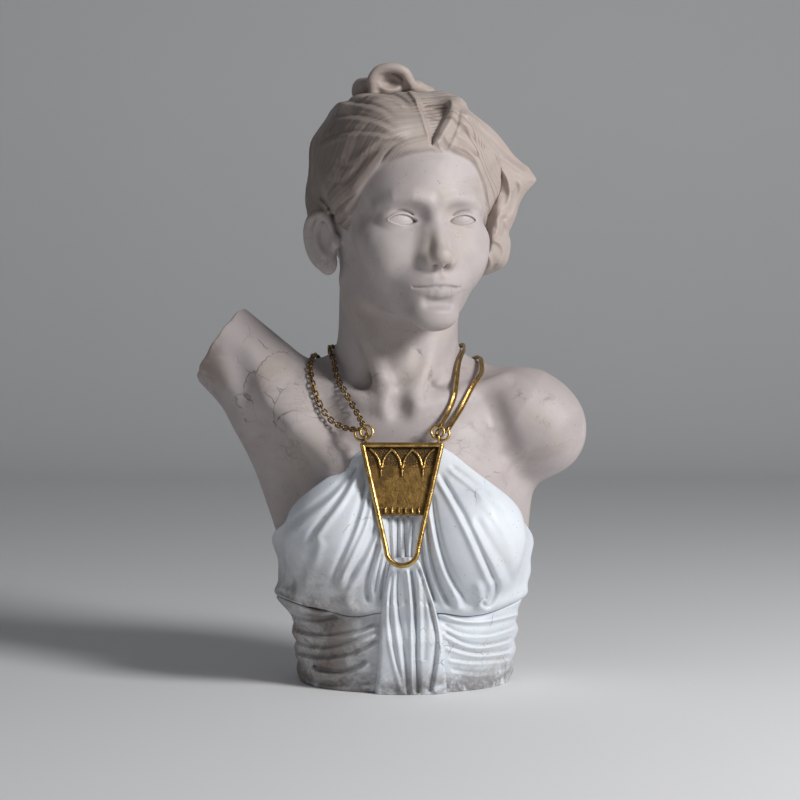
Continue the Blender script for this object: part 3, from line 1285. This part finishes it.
def flesh_paint():
    p, tone, hollow, worn, marks = stone("flesh_stone", *IVORY)
    hair = p.attribute("hair")
    tone = p.mix(p.times(p.span(p.attribute("worn"), 0.3, 1.2), 0.3), tone, RUBBED_IVORY)
    tone = p.mix(p.times(hair, 0.5), tone, HAIR_TINT)
    lines = p.times(hair, p.span(p.attribute("strand"), 0.25, 0.95), p.span(p.noise(22.0, 5.0), 0.36, 0.62))
    tone = p.mix(p.times(lines, 0.6), tone, HAIR_LINES)
    shade = p.times(hair, p.span(p.axis("X"), 0.03, -0.06), p.span(p.axis("Z"), 0.60, 0.57),
                    p.span(p.noise(18.0, 5.0, 0.6, 0.4), 0.26, 0.56))
    tone = p.mix(p.times(shade, 0.65), tone, HAIR_SHADE)
    end = p.times(p.span(p.axis("X"), -0.165, -0.195), p.span(p.noise(30.0, 5.0, 0.7), 0.42, 0.62))
    tone = p.mix(p.times(end, 0.6), tone, BREAK_DIRT)
    stain = p.times(p.span(p.noise(7.0, 6.0, 0.7, 1.0), 0.53, 0.70), 0.5)
    tone = p.mix(stain, tone, STAIN)
    bare = p.math("MAXIMUM", p.span(p.axis("Z"), *BELOW_FACE), hair)
    grime = p.times(p.span(p.noise(26.0, 6.0, 0.75, 0.6), 0.55, 0.67),
                    p.span(p.noise(8.0, 2.0), 0.45, 0.58), bare)
    tone = p.mix(p.times(grime, 0.5), tone, GRIME)
    tone = p.mix(p.times(hollow, worn, 0.74), tone, HOLLOW_DIRT)
    p.set(Base_Color=tone, Roughness=p.span(p.noise(45.0, 3.0), 0.3, 0.7, 0.46, 0.6), Subsurface_Weight=0.12,
          Subsurface_Scale=0.004, Specular_IOR_Level=0.36)
    p.shader.inputs["Subsurface Radius"].default_value = (1.0, 0.75, 0.55)
    grain = p.math("SUBTRACT", p.times(p.noise(220.0, 4.0), 0.5), p.times(marks, 0.8))
    p.bump(grain, 0.00035, 0.6)
    return p.material


def cloth_paint():
    p, tone, hollow, worn, marks = stone("cloth_stone", *WHITE)
    side = p.times(p.span(p.axis("X"), 0.0, -0.085), p.span(p.axis("Z"), 0.16, 0.055))
    foot = p.span(p.axis("Z"), 0.036, 0.002)
    cloud = p.span(p.noise(24.0, 6.0, 0.7, 0.5), 0.38, 0.60)
    tone = p.mix(p.times(p.span(p.attribute("worn"), 0.2, 1.0), 0.5), tone, RUBBED_WHITE)
    tone = p.mix(p.times(side, 0.45), tone, SASH_STAIN)
    tone = p.mix(p.times(side, cloud, 0.85), tone, SASH_DIRT)
    blots = p.times(side, p.span(p.noise(65.0, 5.0, 0.75), 0.55, 0.68))
    tone = p.mix(p.times(blots, 0.7), tone, BLOTS)
    tone = p.mix(p.times(foot, p.span(p.noise(34.0, 6.0, 0.75, 0.4), 0.38, 0.60), 0.85), tone, FOOT_DIRT)
    tone = p.mix(p.times(hollow, worn, 0.62), tone, FOLD_DIRT)
    p.set(Base_Color=tone, Roughness=p.span(p.noise(45.0, 3.0), 0.3, 0.7, 0.42, 0.56), Subsurface_Weight=0.08,
          Subsurface_Scale=0.003, Specular_IOR_Level=0.38)
    grain = p.math("SUBTRACT", p.times(p.noise(240.0, 4.0), 0.5), p.times(marks, 0.7))
    p.bump(grain, 0.0004, 0.6)
    return p.material


def gold_paint(name, light, dark, stains=0.45, rough=0.27, grain=0.00022, grains=None):
    """Old gilding, bright where it is rubbed and brown in its corners, stippled above the height grains."""
    p = Paint(name)
    near = p.node("ShaderNodeAmbientOcclusion", {"Distance": 0.004}, samples=8).outputs["AO"]
    shut = p.span(near, 0.85, 0.35)
    cloud = p.noise(120.0, 5.0, 0.65, 0.4)
    tone = p.mix(p.span(cloud, 0.38, 0.62), light, dark)
    dirt = p.math("MAXIMUM", p.times(shut, 0.92),
                  p.times(p.span(p.noise(60.0, 6.0, 0.7), 0.50, 0.66), stains))
    bumps = p.math("ADD", p.noise(420.0, 3.0), p.noise(1500.0, 2.0))
    if grains:
        dots = p.times(p.span(p.axis("Z"), grains - 0.001, grains + 0.001), p.span(p.cells(620.0), 0.2, 0.6))
        dirt = p.math("MAXIMUM", dirt, p.times(dots, 0.85))
        bumps = p.math("SUBTRACT", bumps, p.times(dots, 3.0))
    tone = p.mix(dirt, tone, GILT_DIRT)
    p.set(Base_Color=tone, Metallic=p.span(dirt, 0.2, 0.9, 1.0, 0.55),
          Roughness=p.span(dirt, 0.0, 0.8, rough, 0.6))
    p.bump(bumps, grain, 0.8)
    return p.material


def floor_paint():
    p = Paint("floor_paint")
    tone = p.mix(p.noise(3.0, 2.0), *FLOOR)
    p.set(Base_Color=tone, Roughness=0.75, Specular_IOR_Level=0.2)
    return p.material


flesh_stone = flesh_paint()
cloth_stone = cloth_paint()
rod_gold = gold_paint("rod_gold", *GOLD)
plate_gold = gold_paint("plate_gold", *PLATE_GOLD, 0.6, 0.42, 0.00035, STIPPLE_FROM)
chain_gold = gold_paint("chain_gold", *CHAIN_GOLD, 0.8, 0.34)

# Box round each carved form (low corner, high corner) and the step of its grid
COARSE = 1.0
BOXES = {
    "body": ((-215, -135, 24), (190, 130, 420), 1.3 * COARSE),
    "head": ((-130, -140, 310), (130, 145, 625), 0.85 * COARSE),
    "side_lock": ((40, -50, 390), (150, 80, 580), 0.9 * COARSE),
    "topknot": ((-70, -25, 560), (50, 85, 630), 0.9 * COARSE),
    "bodice": ((-150, -150, 66), (150, 130, 250), 1.0 * COARSE),
    "waist_sash": ((-130, -110, -6), (130, 100, 90), 1.0 * COARSE),
    "front_fall": ((-45, -150, -6), (60, -30, 142), 0.9 * COARSE),
}
ACROSS, UP = np.array([1.0, 0.0, 0.0]), np.array([0.0, 0.0, 1.0])
ARM_SIDE = np.array([-90.0, 0.0, 0.0])    # parts the raised arm from what lies across the body
TORSO_FOOT = np.array([0.0, 0.0, 26.0])   # bed of the torso in the pocket of the sash


def build_body():
    mesh = carve("body", flesh)
    right = keep_side(mesh, ARM_SIDE, ACROSS)
    right = keep_side(right, RAISED_JOINT, -RAISED_WAY)
    rest = keep_side(mesh, RAISED_JOINT, RAISED_WAY)
    left = keep_side(rest, LOW_JOINT, -LOW_WAY)
    rest = keep_side(rest, LOW_JOINT, LOW_WAY)
    rest = keep_side(rest, NECK_JOINT, NECK_WAY)
    rest = keep_side(rest, TORSO_FOOT, -UP)
    warm_piece("torso", rest)
    warm_piece("right_arm", right)
    warm_piece("left_arm", left)


def build_head():
    mesh = carve("head", flesh, head_marks)
    warm_piece("head", keep_side(mesh, NECK_JOINT, -NECK_WAY))
    lock = carve("side_lock", side_lock, all_hair)
    knot = carve("topknot", topknot, all_hair)
    warm_piece("side_lock", lock)
    warm_piece("topknot", knot)


def build_dress():
    mesh = carve("bodice", bodice)
    middle = np.zeros(3)
    white_piece("bodice_right", keep_side(mesh, middle, ACROSS))
    white_piece("bodice_left", keep_side(mesh, middle, -ACROSS))
    white_piece("waist_sash", carve("waist_sash", sash))
    white_piece("front_fall", carve("front_fall", front_fall))


build_body()
build_head()
build_dress()


# Jewellery keeps its solids and gets old gold

GILT = ("pendant_frame", "pendant_plate", "pendant_arcade", "pendant_drops", "pendant_studs", "pendant_pins",
        "right_rings", "left_rings", "chain_outer", "chain_inner", "strap_outer", "strap_inner", "nape_ring")
HIDDEN_METAL = ("neck_dowel", "arm_dowels", "hair_dowels", "torso_dowels", "bodice_pins", "fall_pins")


def gild():
    special = {"pendant_plate": plate_gold, "chain_outer": chain_gold, "chain_inner": chain_gold}
    for node in GILT + HIDDEN_METAL:
        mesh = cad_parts[node].data
        mesh.materials.clear()
        mesh.materials.append(special.get(node, rod_gold))


gild()


# Stage and light

FLOOR_HALF, FLOOR_FRONT = 6000.0, -5000.0
COVE_AT, COVE_R, WALL_TOP = 2500.0, 900.0, 6000.0
SKY, SKY_STRENGTH = (0.9, 0.93, 1.0, 1), 0.13
# Name, place and size in metres, and power of each lamp
LAMPS = (("key", (1.8, -1.4, 1.5), 0.7, 62), ("fill", (-1.9, -1.3, 0.9), 1.4, 2.5))
LAMP_AIM = Vector((0, 0, 0.35))


def make_floor():
    """A floor that sweeps up behind."""
    bend = np.radians(np.arange(6, 91, 6))
    depth = np.concatenate([[FLOOR_FRONT, COVE_AT], COVE_AT + COVE_R * np.sin(bend), [COVE_AT + COVE_R]])
    rise = np.concatenate([[0.0, 0.0], COVE_R - COVE_R * np.cos(bend), [WALL_TOP]])
    rows = len(depth)
    points = np.concatenate([np.stack([np.full(rows, x), depth, rise], axis=1)
                             for x in (-FLOOR_HALF, FLOOR_HALF)])
    faces = np.array([[i, i + rows, i + rows + 1, i + 1] for i in range(rows - 1)])
    floor = bpy.data.objects.new("floor", make_mesh("floor", points, faces))
    bpy.context.scene.collection.objects.link(floor)
    floor.data.materials.append(floor_paint())


def make_lights():
    """One soft key lamp from the viewer's right, a weaker one from the left and a dim sky."""
    world = bpy.data.worlds.new("studio")
    world.use_nodes = True
    world.node_tree.nodes["Background"].inputs[0].default_value = SKY
    world.node_tree.nodes["Background"].inputs[1].default_value = SKY_STRENGTH
    bpy.context.scene.world = world
    for name, at, size, power in LAMPS:
        light = bpy.data.lights.new(name, "AREA")
        light.size = size
        light.energy = power
        ob = bpy.data.objects.new(name, light)
        bpy.context.scene.collection.objects.link(ob)
        ob.location = at
        ob.rotation_euler = (LAMP_AIM - Vector(at)).to_track_quat("-Z", "Y").to_euler()


make_floor()
make_lights()
bpy.context.scene.view_settings.view_transform = "Standard"
